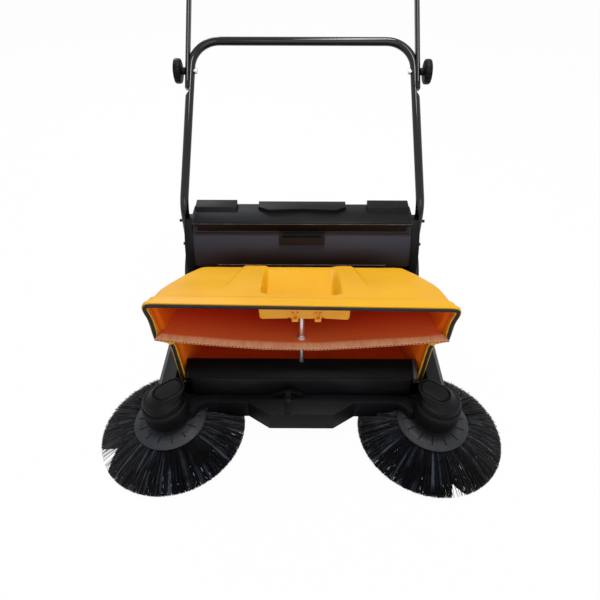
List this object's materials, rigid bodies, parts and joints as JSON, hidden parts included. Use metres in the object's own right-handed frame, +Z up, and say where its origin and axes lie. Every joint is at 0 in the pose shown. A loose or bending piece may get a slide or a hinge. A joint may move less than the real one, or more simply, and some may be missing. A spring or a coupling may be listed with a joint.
{
  "type": "manual floor sweeper",
  "caption": "Push floor sweeper with tilted side brushes, a wheel-driven roller, a lift-out hopper set mouth forward and a folding push handle.",
  "frame": {"origin": "on the floor, under the centre of the machine's bounding box", "axes": "+Z up, +Y towards the push handle, -Y towards the side brushes, +X to the picture's right"},
  "size_m": [0.9196, 1.1902, 1.0416],
  "materials": {
    "black_plastic": "moulded black, slightly satin",
    "grey_plastic": "moulded dark grey",
    "yellow_plastic": "moulded deep yellow, soft gloss",
    "black_rubber": "dull",
    "tyre": "dull rubber",
    "foam": "closed-cell foam",
    "black_paint": "glossy black powder coat",
    "steel": "zinc-plated",
    "bristle": "stiff black filament",
    "cardboard": "brown corrugated paper"
  },
  "bodies": {
    "chassis": {"left_side_arm": "black_plastic", "right_side_arm": "black_plastic", "front_bumper": "black_plastic", "left_boss_cover": "black_plastic", "right_boss_cover": "black_plastic", "left_brush_spindle": "steel", "right_brush_spindle": "steel", "left_end_plate": "black_plastic", "right_end_plate": "black_plastic", "left_stub_axle": "steel", "right_stub_axle": "steel", "left_roller_bearing": "steel", "right_roller_bearing": "steel", "cross_plate": "black_plastic", "roller_housing": "black_plastic", "housing_cover": "black_plastic", "front_catch": "black_plastic", "rear_flap": "black_rubber", "lower_handle_frame": "black_paint", "left_lower_leg_bolt": "steel", "left_upper_leg_bolt": "steel", "right_lower_leg_bolt": "steel", "right_upper_leg_bolt": "steel", "left_clamp_bolt": "steel", "right_clamp_bolt": "steel"},
    "hopper": {"hopper_shell": "yellow_plastic", "grip_pocket": "yellow_plastic", "grip_bracket": "yellow_plastic", "tie_rod": "steel", "mouth_gasket": "black_rubber", "left_lower_gasket": "black_rubber", "right_lower_gasket": "black_rubber", "hopper_sill": "black_plastic", "left_sill_end": "grey_plastic", "right_sill_end": "grey_plastic", "sill_flap": "black_rubber", "packing_sheet": "cardboard"},
    "left_wheel": {"left_tyre": "tyre", "left_wheel_rim": "grey_plastic"},
    "left_layshaft": {"left_layshaft": "grey_plastic"},
    "left_brush": {"left_brush_plate": "grey_plastic", "left_brush_bristles": "bristle"},
    "left_knob": {"left_clamp_knob": "black_plastic"},
    "right_wheel": {"right_tyre": "tyre", "right_wheel_rim": "grey_plastic"},
    "right_layshaft": {"right_layshaft": "grey_plastic"},
    "right_brush": {"right_brush_plate": "grey_plastic", "right_brush_bristles": "bristle"},
    "right_knob": {"right_clamp_knob": "black_plastic"},
    "roller": {"roller_core": "black_plastic", "roller_bristles": "bristle", "roller_pinion": "grey_plastic"},
    "caster_swivel": {"caster_fork": "steel", "caster_axle": "steel"},
    "caster_roll": {"caster_wheel": "tyre"},
    "upper_handle": {"upper_handle": "black_paint", "foam_grip": "foam"},
    "front_lever": {"front_lever": "black_plastic"}
  },
  "joints": [
    {"name": "hopper_lift", "type": "slide", "parent": "chassis", "child": "hopper", "axis": [0, 0, 1], "range_m": [0, 0.35]},
    {"name": "left_wheel_turn", "type": "hinge", "parent": "chassis", "child": "left_wheel", "pos_m": [-0.302, 0.0399, 0.12], "axis": [1, 0, 0], "continuous": true},
    {"name": "right_wheel_turn", "type": "hinge", "parent": "chassis", "child": "right_wheel", "pos_m": [0.302, 0.0399, 0.12], "axis": [1, 0, 0], "continuous": true},
    {"name": "left_layshaft_turn", "type": "hinge", "parent": "chassis", "child": "left_layshaft", "pos_m": [-0.2848, 0.01156, 0.12985], "axis": [-0.0349, -0.9955, -0.0883], "continuous": true},
    {"name": "right_layshaft_turn", "type": "hinge", "parent": "chassis", "child": "right_layshaft", "pos_m": [0.2848, 0.01156, 0.12985], "axis": [0.0349, -0.9955, -0.0883], "continuous": true},
    {"name": "left_brush_turn", "type": "hinge", "parent": "chassis", "child": "left_brush", "pos_m": [-0.2944, -0.4301, 0.01276], "axis": [-0.0574, -0.0418, 0.9975], "continuous": true},
    {"name": "right_brush_turn", "type": "hinge", "parent": "chassis", "child": "right_brush", "pos_m": [0.2944, -0.4301, 0.01276], "axis": [0.0574, -0.0418, 0.9975], "continuous": true},
    {"name": "roller_turn", "type": "hinge", "parent": "chassis", "child": "roller", "pos_m": [0, -0.01756, 0.109], "axis": [1, 0, 0], "continuous": true},
    {"name": "caster_swivel_turn", "type": "hinge", "parent": "chassis", "child": "caster_swivel", "pos_m": [0, -0.3251, 0.08], "axis": [0, 0, 1], "continuous": true},
    {"name": "caster_roll_turn", "type": "hinge", "parent": "caster_swivel", "child": "caster_roll", "pos_m": [0, -0.3051, 0.026], "axis": [1, 0, 0], "continuous": true},
    {"name": "handle_fold", "type": "hinge", "parent": "chassis", "child": "upper_handle", "pos_m": [0, 0.2149, 0.627], "axis": [-1, 0, 0], "range_deg": [-150, 15]},
    {"name": "left_knob_turn", "type": "hinge", "parent": "chassis", "child": "left_knob", "pos_m": [-0.31, 0.2149, 0.627], "axis": [-1, 0, 0], "range_deg": [0, 180]},
    {"name": "right_knob_turn", "type": "hinge", "parent": "chassis", "child": "right_knob", "pos_m": [0.31, 0.2149, 0.627], "axis": [1, 0, 0], "range_deg": [0, 180]},
    {"name": "lever_lift", "type": "hinge", "parent": "chassis", "child": "front_lever", "pos_m": [-0.03, -0.4001, 0.098], "axis": [-1, 0, 0], "range_deg": [0, 35]}
  ],
  "couplings": [
    {"joint": "left_layshaft_turn", "follows": "left_wheel_turn", "ratio": 4},
    {"joint": "left_brush_turn", "follows": "left_wheel_turn", "ratio": 1.3333},
    {"joint": "right_layshaft_turn", "follows": "right_wheel_turn", "ratio": -4},
    {"joint": "right_brush_turn", "follows": "right_wheel_turn", "ratio": -1.3333},
    {"joint": "roller_turn", "follows": "right_wheel_turn", "ratio": 4}
  ]
}
